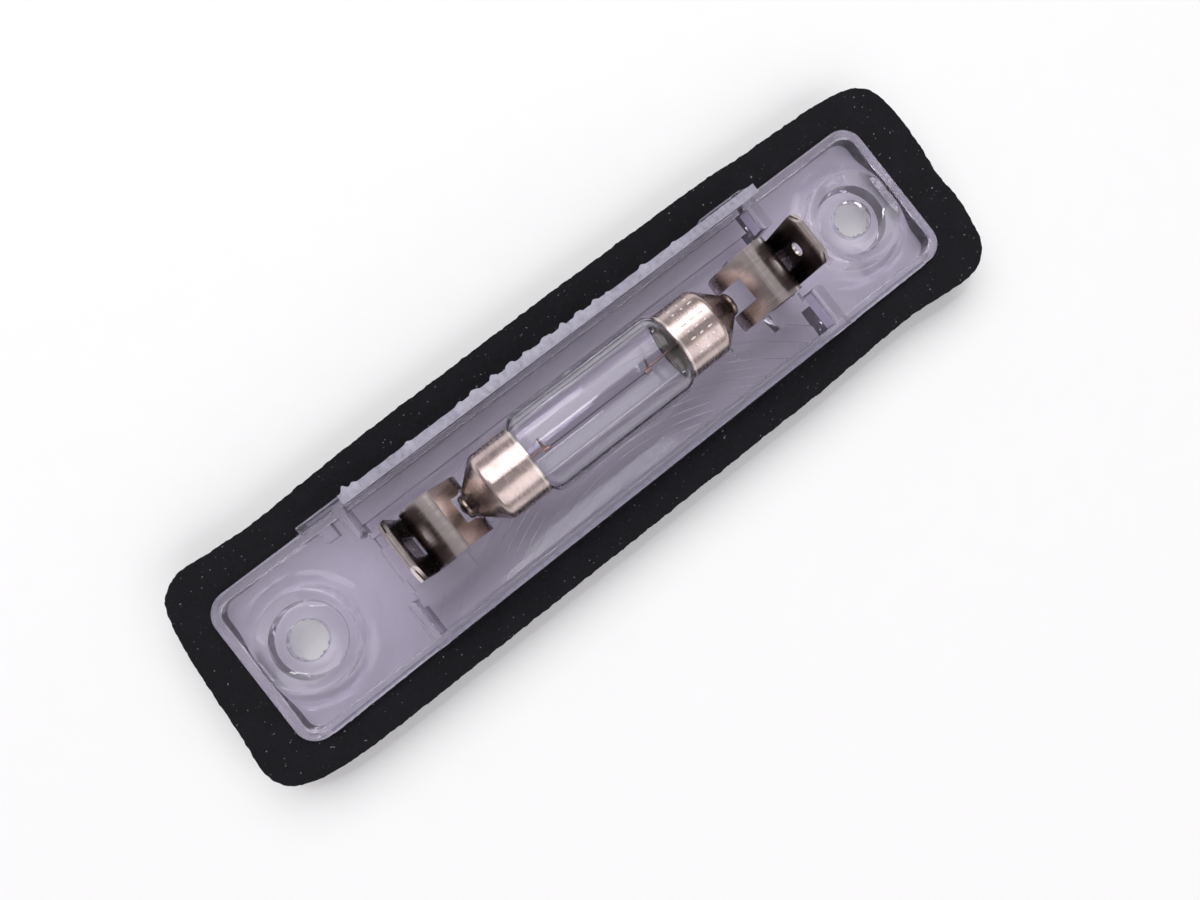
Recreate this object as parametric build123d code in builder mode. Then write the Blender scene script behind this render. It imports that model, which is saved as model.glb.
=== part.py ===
"""Number plate lamp: a clear lens moulding with a foam gasket, a festoon bulb and two spring contacts.

Millimetres. X runs along the lamp, +Z points to the back of the lamp, where the terminal tabs stand, and the
flat front of the lens lies on z = 0. The origin is under the middle of the gasket.
"""
import os

from build123d import *

# foam gasket: outline, and the band of foam around its opening
gasket_length = 102.8
gasket_width = 28.4
gasket_corner = 6.4
gasket_thickness = 3.4
gasket_end_band = 4.65
gasket_side_band = 4.35
gasket_clearance = 0.15

# lens moulding: plate under the gasket, tray and rim in its opening
front_plate = 1.0
flange_end_inset = 1.6
flange_side_inset = 1.5
flange_corner = 5.0
flange_edge = 0.5
tray_corner = 2.7
rim_width = 1.15
rim_height = 5.0
rim_edge = 0.3
tray_depth = 2.0

# lens moulding: bulb bay between the two bulkheads
bay_centre_x = 0.3
bay_end_room = 1.9
bay_shelf = 2.05
left_bulkhead = 1.1
right_bulkhead = 1.75
bulkhead_rise = 2.0
bulkhead_edge = 0.25
doorway = 8.8
doorway_edge = 0.5
back_lip = 0.5
back_wall = 1.25
lug_reach = 0.4
left_lug_length = 4.2
right_lug_length = 6.8
lug_slope = 0.9
lug_leg_length = 1.5
lug_leg_reach = 1.6

# lens moulding: screw bosses, each a round swell with a dished top
screw_from_end = 6.45
screw_hole = 4.7
screw_seat = 1.3
counterbore = 9.5
boss_dish = 5.6
boss_crest = 11.2
boss_foot = 15.4
boss_below_rim = 1.6
crest_below_rim = 0.55

# lens moulding: arc-shaped optic ridges on the bay floor
optic_centre_y = -37.65
optic_pitch = 2.1
optic_height = 0.32
optic_inner = 26.85
optic_count = 9

# festoon bulb
bulb_off_centre = 0.75
bulb_y = 0.7
bulb_above_rim = 2.7
bulb_length = 38.4
glass_diameter = 10.2
glass_wall = 0.6
neck_diameter = 7.0
neck_length = 2.6
neck_seal = 1.2
seal_gap = 0.02
cement_length = 1.9
cap_diameter = 8.5
cap_wall = 0.3
cap_tube = 5.1
cap_edge = 0.8
cone_length = 3.1
nub_diameter = 2.9
nub_length = 0.7
nub_edge = 0.3
solder_hole = 1.0
solder_diameter = 1.5
solder_dome = 0.25
lead_diameter = 0.34
crimp_diameter = 0.54
crimp_length = 0.8
hook_diameter = 0.28
hook_length = 1.3
left_hook_tilt = 20.0
right_hook_tilt = 50.0
filament_diameter = 0.2
filament_length = 14.1
filament_shift = -0.67
filament_drop = 0.3
filament_grip = 0.35

# contact strips
contact_off_bulb = 0.6
strip = 0.35
strip_width = 7.2
strip_clearance = 0.15
base_height = 0.8
base_length = 2.6
foot_gap = 0.65
tab_shoulder = 1.0
tab_from_leg = 1.25
tab_gap = 0.15
tab_above_rim = 11.9
right_tab_width = 6.3
tab_fold = 3.6
tab_chamfer = 1.3
tab_slot = 2.5
tab_slot_below_tip = 2.7
tab_hole = 1.7
tab_hole_below_tip = 4.9
leg_slot_rise = 2.6
arch_rise = 7.1
arch_radius = 3.3
arch_run = 0.4
crease_radius = 0.5
leaf_past_cone = 0.05
leaf_slant = 3.15
leaf_radius = 3.0
leaf_foot = 0.5
leaf_drop = 3.2
nub_clearance = 0.1
left_fork_seat = 4.1
fork_slot_below_crease = 1.8
finger_round = 0.9
bend_radius = 0.4

# contact sockets in the lens
socket_width = 10.2
cheek_length = 4.1
cheek_below_rim = 0.6
stop_width = 4.4
stop_above_rim = 0.5
pedestal_length = 9.4

os.makedirs("parts", exist_ok=True)

# outlines: the gasket sets the lens, and the tray sets the screws
flange_length = gasket_length - 2 * flange_end_inset
flange_width = gasket_width - 2 * flange_side_inset
tray_length = gasket_length - 2 * (gasket_end_band + gasket_clearance)
tray_width = gasket_width - 2 * (gasket_side_band + gasket_clearance)
screw_spacing = tray_length - 2 * screw_from_end

# places along the lamp, outwards from the middle: the bulb sets the contacts, and the contacts set the bay
bulb_x = bay_centre_x + bulb_off_centre
contact_centre_x = bulb_x + contact_off_bulb
nub_face = bulb_length / 2 - solder_dome
cone_end = nub_face - nub_length
cap_mouth = cone_end - cone_length - cap_tube
leaf_position = cone_end + leaf_past_cone
crease_position = leaf_position + leaf_slant
leg_position = crease_position + arch_run + arch_radius
tab_position = leg_position + tab_from_leg
base_reach = tab_position - base_length
cheek_reach = tab_position - cheek_length
pedestal_reach = tab_position - pedestal_length
bay_length = 2 * (tab_position + bay_end_room)

# heights and places that several pieces share
contact_y = bulb_y
left_tab_width = strip_width
fork_slot = nub_diameter + 2 * nub_clearance
right_fork_seat = fork_slot
tray_floor = rim_height - tray_depth
bulkhead_top = rim_height + bulkhead_rise
tray_inner_length = tray_length - 2 * rim_width
tray_inner_width = tray_width - 2 * rim_width
bay_left = bay_centre_x - bay_length / 2
bay_right = bay_centre_x + bay_length / 2
bay_front_y = -tray_inner_width / 2
bay_back_y = tray_inner_width / 2 - bay_shelf
wall_x = (bay_left - left_bulkhead, bay_right + right_bulkhead)
back_face = tray_width / 2 + back_lip
bulb_z = rim_height + bulb_above_rim
strip_bottom = front_plate + base_height
base_z = strip_bottom + strip / 2
foot_z = base_z + strip + foot_gap
tab_tip = rim_height + tab_above_rim
arch_top = rim_height + arch_rise
bulb_axis = Axis((bulb_x, bulb_y, bulb_z), (1, 0, 0))
bulb_plane = Plane((bulb_x, bulb_y, bulb_z), x_dir=(1, 0, 0), z_dir=(0, -1, 0))


def block(x_span, y_span, z_span, mode=Mode.ADD):
    """A box between two values on each axis."""
    size = [high - low for low, high in (x_span, y_span, z_span)]
    middle = [(high + low) / 2 for low, high in (x_span, y_span, z_span)]
    with Locations(tuple(middle)):
        Box(*size, mode=mode)


def name_and_write(builder, name):
    builder.part.label = name
    export_step(builder.part, f"parts/{name}.step")


# optic ridges: saw-tooth rings around an axis in front of the lamp, trimmed to the bay floor
optic_plane = Plane((bay_centre_x, optic_centre_y, front_plate), x_dir=(1, 0, 0), z_dir=(0, -1, 0))
with BuildPart() as optic_ridges:
    with BuildSketch(optic_plane):
        with BuildLine():
            teeth = [(optic_inner, -optic_height)]
            for ring in range(optic_count):
                tooth = optic_inner + ring * optic_pitch
                teeth += [(tooth, 0), (tooth + optic_pitch, optic_height)]
            teeth += [(optic_inner + optic_count * optic_pitch, -optic_height)]
            Polyline(teeth, close=True)
        make_face()
    revolve(axis=Axis((bay_centre_x, optic_centre_y, 0), (0, 0, 1)), revolution_arc=180)
    with BuildSketch(Plane.XY.offset(front_plate)):
        with Locations((bay_centre_x, (bay_front_y + bay_back_y) / 2)):
            Rectangle(bay_length, bay_back_y - bay_front_y)
    extrude(amount=optic_height, both=True, mode=Mode.INTERSECT)

# screw bosses: smooth swells that run into the end walls of the tray
boss_height = tray_depth - boss_below_rim
crest_height = tray_depth - crest_below_rim
with BuildPart() as screw_bosses:
    for side in (-1, 1):
        boss_place = (side * screw_spacing / 2, 0, tray_floor)
        with BuildSketch(Plane(boss_place, x_dir=(1, 0, 0), z_dir=(0, -1, 0))):
            with BuildLine():
                Polyline(
                    (boss_foot / 2, 0),
                    (boss_foot / 2, -crest_height),
                    (0, -crest_height),
                    (0, boss_height),
                    (boss_dish / 2, boss_height),
                )
                Spline(
                    (boss_dish / 2, boss_height),
                    (boss_crest / 2, crest_height),
                    (boss_foot / 2, 0),
                    tangents=((1, 0), (1, -0.3)),
                )
            make_face()
        revolve(axis=Axis(boss_place, (0, 0, 1)))
    with BuildSketch(Plane.XY.offset(tray_floor)):
        RectangleRounded(tray_length, tray_width, tray_corner)
    extrude(amount=tray_depth, mode=Mode.INTERSECT)

# lens: plate, tray with its rim, bosses, bulb bay, raised walls and contact sockets in one moulding
with BuildPart() as lens:
    with BuildSketch():
        RectangleRounded(flange_length, flange_width, flange_corner)
    extrude(amount=front_plate)
    fillet(lens.edges().group_by(Axis.Z)[0], flange_edge)
    with BuildSketch(Plane.XY.offset(front_plate)):
        RectangleRounded(tray_length, tray_width, tray_corner)
    extrude(amount=rim_height - front_plate)
    with BuildSketch(Plane.XY.offset(tray_floor)):
        RectangleRounded(tray_inner_length, tray_inner_width, tray_corner - rim_width)
    extrude(amount=tray_depth, mode=Mode.SUBTRACT)
    fillet(lens.edges().group_by(Axis.Z)[-1], rim_edge)

    # screw bosses on the tray floors, each with a hole and a counterbore from the front
    add(screw_bosses.part)
    seat_face = tray_floor + boss_height - screw_seat
    with GridLocations(screw_spacing, 0, 2, 1):
        Cylinder(screw_hole / 2, 2 * rim_height, mode=Mode.SUBTRACT)
        Cylinder(counterbore / 2, 2 * seat_face, mode=Mode.SUBTRACT)

    # bulb bay with its optic ridges
    block((bay_left, bay_right), (bay_front_y, bay_back_y), (front_plate, rim_height), Mode.SUBTRACT)
    add(optic_ridges.part)

    # raised walls along the bay, the back one with a lip that overhangs the tray
    back_inner = back_face - back_wall
    block(wall_x, (-tray_width / 2, bay_front_y), (tray_floor, bulkhead_top))
    block(wall_x, (back_inner, tray_width / 2), (tray_floor, bulkhead_top))
    block(wall_x, (back_inner, back_face), (rim_height, bulkhead_top))

    # bulkheads at both ends of the bay, with a round-edged doorway in the middle
    doorway_y = (contact_y - doorway / 2, contact_y + doorway / 2)
    for low_x, high_x in ((wall_x[0], bay_left), (bay_right, wall_x[1])):
        with BuildSketch(Plane.XY.offset(tray_floor)):
            for low_y, high_y, door_end in ((bay_front_y, doorway_y[0], -1), (doorway_y[1], back_inner, 0)):
                with BuildSketch(mode=Mode.PRIVATE) as bulkhead:
                    with Locations(((low_x + high_x) / 2, (low_y + high_y) / 2)):
                        Rectangle(high_x - low_x, high_y - low_y)
                    fillet(bulkhead.vertices().group_by(Axis.Y)[door_end], doorway_edge)
                add(bulkhead.sketch_local)
        extrude(amount=bulkhead_top - tray_floor)

    # lugs on the back wall
    lug_x = (wall_x[0] - left_lug_length, wall_x[0])
    block(lug_x, (tray_width / 2 - back_lip, back_face), (rim_height - rim_edge, bulkhead_top))
    leg_middle = wall_x[0] - left_lug_length / 2
    leg_x = (leg_middle - lug_leg_length / 2, leg_middle + lug_leg_length / 2)
    block(leg_x, (tray_inner_width / 2 - lug_leg_reach, tray_inner_width / 2), (tray_floor, rim_height))
    with BuildSketch(Plane.XY.offset(rim_height)):
        with BuildLine():
            Polyline(
                (wall_x[1], back_face),
                (wall_x[1] - lug_slope, back_face + lug_reach),
                (wall_x[1] - right_lug_length, back_face + lug_reach),
                (wall_x[1] - right_lug_length - lug_slope, back_face),
                close=True,
            )
        make_face()
    extrude(amount=bulkhead_rise)

    # contact sockets: a pedestal, two cheeks, a recess for the tab and a stop behind it
    strip_half = strip_width / 2 + strip_clearance
    socket_y = (-socket_width / 2, socket_width / 2)
    recess_y = (contact_y - strip_half, contact_y + strip_half)
    stop_y = (contact_y - stop_width / 2, contact_y + stop_width / 2)
    for side, bay_end, stop_end in ((-1, bay_left, bay_left), (1, bay_right, wall_x[1])):
        tab_back = contact_centre_x + side * (tab_position + strip + tab_gap / 2 + strip_clearance)
        pedestal_x = sorted((contact_centre_x + side * pedestal_reach, bay_end))
        cheek_x = sorted((contact_centre_x + side * cheek_reach, bay_end))
        cheek_z = (front_plate, rim_height - cheek_below_rim)
        block(pedestal_x, socket_y, (front_plate, strip_bottom))
        block(cheek_x, (socket_y[0], recess_y[0]), cheek_z)
        block(cheek_x, (recess_y[1], socket_y[1]), cheek_z)
        recess_x = sorted((contact_centre_x + side * cheek_reach, tab_back))
        block(recess_x, recess_y, (strip_bottom, bulkhead_top), Mode.SUBTRACT)
        block(sorted((tab_back, stop_end)), stop_y, (front_plate, rim_height + stop_above_rim))
    fillet(lens.edges().group_by(Axis.Z)[-1], bulkhead_edge)
name_and_write(lens, "lens")

# foam gasket: a die-cut ring that lies on the plate around the tray, with a notch that clears the back lip
notch_x = (wall_x[0] - left_lug_length - gasket_clearance, wall_x[1] + gasket_clearance)
notch_y = (0, back_face + lug_reach + gasket_clearance)
notch_z = (front_plate, front_plate + gasket_thickness)
with BuildPart() as foam_gasket:
    with BuildSketch(Plane.XY.offset(front_plate)):
        RectangleRounded(gasket_length, gasket_width, gasket_corner)
        RectangleRounded(
            tray_length + 2 * gasket_clearance,
            tray_width + 2 * gasket_clearance,
            tray_corner + gasket_clearance,
            mode=Mode.SUBTRACT,
        )
    extrude(amount=gasket_thickness)
    block(notch_x, notch_y, notch_z, Mode.SUBTRACT)
name_and_write(foam_gasket, "foam_gasket")

# bulb glass: a tube with rounded shoulders and a sealed neck inside each cap
glass_radius = glass_diameter / 2
neck_radius = neck_diameter / 2
shoulder = glass_radius - neck_radius
cap_inner = cap_diameter / 2 - cap_wall
shoulder_start = cap_mouth - (shoulder**2 - (cap_inner - neck_radius) ** 2) ** 0.5
neck_end = cap_mouth + neck_length

glass_steps = (
    (glass_radius, neck_radius, neck_end, Mode.ADD),
    (glass_radius - glass_wall, neck_radius - glass_wall, neck_end - neck_seal, Mode.SUBTRACT),
)
with BuildPart() as bulb_glass:
    for tube, neck, end, mode in glass_steps:
        start = shoulder_start
        neck_start = start + tube - neck
        with BuildSketch(bulb_plane):
            with BuildLine():
                Polyline(
                    (-neck_start, neck), (-end, neck), (-end, 0), (end, 0), (end, neck), (neck_start, neck)
                )
                RadiusArc((neck_start, neck), (start, tube), neck - tube)
                Line((start, tube), (-start, tube))
                RadiusArc((-start, tube), (-neck_start, neck), neck - tube)
            make_face()
        revolve(axis=bulb_axis, mode=mode)
    with BuildSketch(Plane((bulb_x, bulb_y, bulb_z), x_dir=(0, 1, 0), z_dir=(1, 0, 0))):
        Circle(lead_diameter / 2 + seal_gap)
    extrude(amount=neck_end, both=True, mode=Mode.SUBTRACT)
name_and_write(bulb_glass, "bulb_glass")

# each end of the bulb: cap, cement, lead wire with its crimp and hook, solder
filament_end = filament_length / 2
filament_x = bulb_x + filament_shift
filament_y = bulb_y - filament_drop
for side, name, tilt in ((-1, "left", left_hook_tilt), (1, "right", right_hook_tilt)):
    end_plane = Plane((bulb_x, bulb_y, bulb_z), x_dir=(side, 0, 0), z_dir=(0, -side, 0))

    with BuildPart() as bulb_cap:
        with BuildSketch(end_plane):
            with BuildLine():
                FilletPolyline(
                    (cap_mouth, cap_inner + cap_wall / 2),
                    (cap_mouth + cap_tube, cap_inner + cap_wall / 2),
                    (cone_end, (nub_diameter - cap_wall) / 2),
                    (nub_face - cap_wall / 2, (nub_diameter - cap_wall) / 2),
                    (nub_face - cap_wall / 2, solder_hole / 2),
                    radius=[cap_edge, nub_edge, nub_edge],
                )
            trace(line_width=cap_wall)
        revolve(axis=bulb_axis)
    name_and_write(bulb_cap, f"bulb_cap_{name}")

    with BuildPart() as cement:
        with BuildSketch(end_plane):
            with Locations((cap_mouth + neck_length - cement_length / 2, (cap_inner + neck_radius) / 2)):
                Rectangle(cement_length, cap_inner - neck_radius)
        revolve(axis=bulb_axis)
    name_and_write(cement, f"cement_{name}")

    crimp_x = filament_x + side * (filament_end - filament_grip)
    wire_end = bulb_x + side * (nub_face - cap_wall)
    wire_start = crimp_x + side * crimp_length / 2
    with BuildPart() as lead_wire:
        with BuildSketch(Plane((wire_start, bulb_y, bulb_z), x_dir=(0, 1, 0), z_dir=(side, 0, 0))):
            Circle(lead_diameter / 2)
        extrude(amount=abs(wire_end - wire_start))
        with BuildSketch(Plane((crimp_x, filament_y, bulb_z), x_dir=(0, 1, 0), z_dir=(side, 0, 0))):
            Circle(crimp_diameter / 2)
        extrude(amount=crimp_length)
        hook_x = crimp_x + side * (crimp_length - hook_diameter / 2)
        hook_plane = Plane((hook_x, bulb_y, bulb_z), x_dir=(1, 0, 0), z_dir=(0, 1, 0))
        with BuildSketch(hook_plane.rotated((tilt, 0, 0))):
            Circle(hook_diameter / 2)
        extrude(amount=hook_length)
        with BuildSketch(Plane((crimp_x, filament_y, bulb_z), x_dir=(0, 1, 0), z_dir=(side, 0, 0))):
            Circle(filament_diameter / 2)
        extrude(amount=filament_grip, mode=Mode.SUBTRACT)
    name_and_write(lead_wire, f"lead_wire_{name}")

    with BuildPart() as solder_tip:
        with BuildSketch(end_plane):
            with BuildLine():
                Polyline(
                    (nub_face + solder_dome, 0),
                    (nub_face - cap_wall, 0),
                    (nub_face - cap_wall, solder_hole / 2),
                    (nub_face, solder_hole / 2),
                    (nub_face, solder_diameter / 2),
                )
                dome = (solder_diameter**2 / 4 + solder_dome**2) / (2 * solder_dome)
                RadiusArc((nub_face, solder_diameter / 2), (nub_face + solder_dome, 0), dome)
            make_face()
        revolve(axis=bulb_axis)
    name_and_write(solder_tip, f"solder_tip_{name}")

# filament
with BuildPart() as filament:
    with BuildSketch(Plane((filament_x, filament_y, bulb_z), x_dir=(0, 1, 0), z_dir=(1, 0, 0))):
        Circle(filament_diameter / 2)
    extrude(amount=filament_end, both=True)
name_and_write(filament, "filament")

# contacts: one strip each, bent from the base plate up to the folded tab and over to the spring fork
contact_sides = (
    (-1, "left", left_tab_width, left_fork_seat),
    (1, "right", right_tab_width, right_fork_seat),
)
for side, name, tab_width, fork_seat in contact_sides:
    side_plane = Plane((contact_centre_x, contact_y, 0), x_dir=(side, 0, 0), z_dir=(0, -side, 0))
    tab_x = contact_centre_x + side * tab_position
    leg_x = contact_centre_x + side * leg_position
    tab_plane = Plane((tab_x, contact_y, 0), x_dir=(0, 1, 0), z_dir=(1, 0, 0))
    leg_plane = Plane((leg_x, contact_y, 0), x_dir=(0, 1, 0), z_dir=(1, 0, 0))
    layer = (strip + tab_gap) / 2
    leaf_end = bulb_z - leaf_drop

    with BuildPart() as contact:
        with BuildSketch(side_plane):
            with BuildLine():
                FilletPolyline(
                    (base_reach, base_z),
                    (tab_position + layer, base_z),
                    (tab_position + layer, tab_tip - strip / 2),
                    (tab_position - layer, tab_tip - strip / 2),
                    (tab_position - layer, foot_z),
                    (leg_position, foot_z),
                    (leg_position, arch_top),
                    (crease_position, arch_top),
                    (leaf_position, bulb_z),
                    (leaf_position + leaf_foot, leaf_end),
                    radius=[
                        bend_radius,
                        layer - 0.001,
                        layer - 0.001,
                        bend_radius,
                        bend_radius,
                        arch_radius,
                        crease_radius,
                        leaf_radius,
                    ],
                )
            trace(line_width=strip)
        extrude(amount=strip_width / 2, both=True)

        # tab outline: narrowed sides above the shoulder and cut corners at the fold
        with BuildSketch(tab_plane):
            with Locations((0, (foot_z + tab_shoulder + tab_tip) / 2)):
                Rectangle(2 * strip_width, tab_tip - foot_z - tab_shoulder)
            with BuildLine():
                Polyline(
                    (-tab_width / 2, foot_z + tab_shoulder),
                    (-tab_width / 2, tab_tip - tab_chamfer),
                    (-tab_fold / 2, tab_tip),
                    (tab_fold / 2, tab_tip),
                    (tab_width / 2, tab_tip - tab_chamfer),
                    (tab_width / 2, foot_z + tab_shoulder),
                    close=True,
                )
            make_face(mode=Mode.SUBTRACT)
        extrude(amount=2 * layer, both=True, mode=Mode.SUBTRACT)

        # slot through the inner layer, the foot and the leg, with round ends
        slot_half = tab_slot / 2
        for slot_plane, slot_top, reach in (
            (tab_plane.offset(-side * 2 * layer), tab_tip - tab_slot_below_tip, 2 * layer),
            (leg_plane, foot_z + leg_slot_rise, strip),
        ):
            with BuildSketch(slot_plane):
                with Locations((0, slot_top - slot_half)):
                    Circle(slot_half)
                with Locations((0, (slot_top - slot_half + foot_z - strip) / 2)):
                    Rectangle(tab_slot, slot_top - slot_half - foot_z + strip)
            extrude(amount=reach, both=True, mode=Mode.SUBTRACT)

        # the same slot in the base plate below
        slot_x = sorted((contact_centre_x + side * (base_reach - strip), tab_x))
        slot_y = (contact_y - slot_half, contact_y + slot_half)
        block(slot_x, slot_y, (strip_bottom - strip, foot_z), Mode.SUBTRACT)

        # hole in the outer layer of the tab
        with BuildSketch(tab_plane):
            with Locations((0, tab_tip - tab_hole_below_tip)):
                Circle(tab_hole / 2)
        extrude(amount=side * 2 * layer, mode=Mode.SUBTRACT)

        # fork for the cone of the bulb, with a round seat and round finger ends
        fork_x = contact_centre_x + side * leaf_position
        with BuildSketch(Plane((fork_x, contact_y, 0), x_dir=(0, 1, 0), z_dir=(1, 0, 0))):
            with Locations((bulb_y - contact_y, (arch_top - fork_slot_below_crease + leaf_end - strip) / 2)):
                Rectangle(fork_slot, arch_top - fork_slot_below_crease - leaf_end + strip)
            with Locations((bulb_y - contact_y, bulb_z)):
                Circle(fork_seat / 2)
        extrude(amount=crease_position - leaf_position, both=True, mode=Mode.SUBTRACT)
        finger_edges = contact.edges().filter_by_position(Axis.Z, leaf_end - strip, leaf_end + strip)
        fillet(finger_edges.filter_by(lambda edge: abs(edge.length - strip) < strip / 100), finger_round)
    name_and_write(contact, f"contact_{name}")
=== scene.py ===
"""Number plate lamp: the finish of its lens, foam gasket, bulb and contacts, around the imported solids.

Metres, in the frame of the solids: X runs along the lamp and +Z points to the back, where the tabs stand.
"""
import math

import bmesh
import bpy
from bpy.props import FloatProperty, FloatVectorProperty, IntProperty, PointerProperty
from mathutils import Matrix, Vector, noise


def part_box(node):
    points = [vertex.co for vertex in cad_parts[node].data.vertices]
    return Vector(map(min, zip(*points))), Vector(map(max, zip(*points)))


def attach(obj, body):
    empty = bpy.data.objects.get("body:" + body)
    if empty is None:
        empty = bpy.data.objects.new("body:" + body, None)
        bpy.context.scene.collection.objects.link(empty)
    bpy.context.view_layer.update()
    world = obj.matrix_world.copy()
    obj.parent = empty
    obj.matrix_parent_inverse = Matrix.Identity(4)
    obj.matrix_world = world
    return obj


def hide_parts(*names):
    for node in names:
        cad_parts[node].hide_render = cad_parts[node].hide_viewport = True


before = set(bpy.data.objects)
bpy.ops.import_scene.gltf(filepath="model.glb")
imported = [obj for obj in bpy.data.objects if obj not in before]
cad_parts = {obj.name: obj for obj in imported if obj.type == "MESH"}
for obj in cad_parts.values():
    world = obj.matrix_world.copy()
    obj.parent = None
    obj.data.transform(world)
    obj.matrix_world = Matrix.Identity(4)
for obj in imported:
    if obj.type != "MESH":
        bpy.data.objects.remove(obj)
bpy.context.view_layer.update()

bl_info = {
    "name": "Number Plate Lamp",
    "version": (1, 0, 0),
    "blender": (4, 5, 0),
    "location": "3D View > Sidebar > Plate Lamp",
    "description": "Finishes the packed solids of a number plate lamp and sets its stage",
    "category": "Object",
}

MM = 0.001
BODY = "root"
SIDES = ("left", "right")

# places on the solids that the finishes follow: along the bulb from its middle, along the lamp from its middle,
# and inwards from the outer faces of the tabs
CAP_MOUTH = 10.05 * MM
CONE_START = 15.15 * MM
CAP_BORE_RADIUS = 3.97 * MM
COUNTERBORE_RADIUS = 4.75 * MM
SCREW_PLACE = 40.15 * MM
FOLD_DEPTH = 1.6 * MM
TAB_LAYER = 0.42 * MM

# width over which one finish goes over into the next
FADE = 0.1 * MM

PLASTIC_IOR = 1.49
GLASS_IOR = 1.4
GLASS_COLOURS = (0.95, 0.94, 0.98), (0.99, 0.98, 1.0)
# pale dull colour inside the caps' bores: a painted reflection in place of the bright reflections there
CAP_INSIDE_REFLECTION_COLOUR = (0.85, 0.79, 0.79)
CEMENT_COLOURS = (0.42, 0.36, 0.30), (0.66, 0.60, 0.52)
# dark brown of the solder tips: partly their tarnish, partly painted shade from the contacts' fingers
SOLDER_AND_SHADE_COLOUR = (0.20, 0.17, 0.16)
TUNGSTEN_COLOUR = (0.12, 0.12, 0.13)
SMOOTH_ANGLE = math.radians(40)


# sizes and colours that a user would change

def length(name, description, default):
    return FloatProperty(
        name=name, description=description, default=default, min=0.0, unit="LENGTH", precision=5
    )


def whole_number(name, description, default, least, most):
    return IntProperty(name=name, description=description, default=default, min=least, max=most)


def light_power(name, description, default):
    return FloatProperty(name=name, description=description, default=default, min=0.0, unit="POWER")


def colour(name, description, default):
    return FloatVectorProperty(
        name=name, description=description, default=default, size=3, min=0.0, max=1.0, subtype="COLOR"
    )


class LensSettings(bpy.types.PropertyGroup):
    tint: colour("Tint", "Colour that the clear plastic gives to what is seen through it", (0.88, 0.84, 0.98))
    flash_tint: colour("Flash tint", "Colour of the thin milky flash on the edges", (0.36, 0.345, 0.43))
    flash_reach: length("Flash reach", "How far the ragged flash stands out of the lip", 0.6 * MM)
    # the beads on the optic arcs are thin pale lines that paint highlights on the arcs' crests
    bead_highlight_colour: colour("Bead highlight colour", "Colour of the light on the optic arcs", (0.88, 0.86, 1.0))
    bead_radius: length("Bead radius", "Radius of the fine beads on the optic arcs", 0.08 * MM)
    bead_count: whole_number("Bead count", "Number of optic arcs that carry beads", 18, 1, 40)


class GasketSettings(bpy.types.PropertyGroup):
    foam_colour: colour("Foam colour", "Colour of the foam", (0.005, 0.005, 0.007))
    speck_colour: colour("Speck colour", "Colour of the dust in the foam's cells", (0.20, 0.20, 0.22))
    cell_depth: length("Cell depth", "How deep the open cells are on the foam's faces", 0.07 * MM)
    rag: length("Ragged cut", "How far the cut edges wander from a clean line", 0.11 * MM)


class BulbSettings(bpy.types.PropertyGroup):
    cap_colour: colour("Cap colour", "Colour of the plated caps", (0.60, 0.49, 0.47))
    # the cone shade colour is painted shade on the caps' cones
    cone_shade_colour: colour("Cone shade colour", "Colour of the caps' darkened cones", (0.20, 0.15, 0.13))
    wire_colour: colour("Wire colour", "Colour of the lead wires", (0.30, 0.20, 0.19))
    coil_wire: length("Coil wire", "Diameter of the filament's wire", 0.06 * MM)
    coil_turns: whole_number("Coil turns", "Turns of the filament", 110, 10, 400)
    rim_width: length("Rim width", "Width of the rolled rim at the mouth of each cap", 0.5 * MM)
    tick_rows: whole_number("Tick rows", "Rows of raised ticks on the right cap", 3, 1, 6)
    ticks: whole_number("Ticks", "Ticks in each row", 8, 1, 20)


class ContactSettings(bpy.types.PropertyGroup):
    strip_colour: colour("Strip colour", "Colour of the clean strip", (0.60, 0.53, 0.52))
    # the tarnish colour also stands for painted shade low down on the strip
    tarnish_and_shade_colour: colour("Tarnish and shade colour", "Colour of the strip where it has tarnished", (0.33, 0.265, 0.26))
    # the fold colour is painted shade inside the tabs' folds
    fold_shade_colour: colour("Fold shade colour", "Colour of the strip inside the tabs' folds", (0.09, 0.072, 0.07))
    dull_colour: colour("Dull colour", "Colour of the dull face between a tab's layers", (0.30, 0.27, 0.29))


class StageSettings(bpy.types.PropertyGroup):
    floor_colour: colour("Floor colour", "Colour of the floor", (0.93, 0.93, 0.93))
    floor_glow: FloatProperty(
        name="Floor glow", description="Share of plain white in the floor near the lamp, as it is seen",
        default=0.06, min=0.0, max=1.0, subtype="FACTOR",
    )
    soft_light: light_power("Soft light", "Power of the large panel above the lamp", 2.6)
    narrow_light: light_power("Narrow light", "Power of the panel that draws crisp lines on the metal", 0.16)
    fill_light: light_power("Fill light", "Power of the panel on the other side", 1.45)


# nodes of a finish

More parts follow.
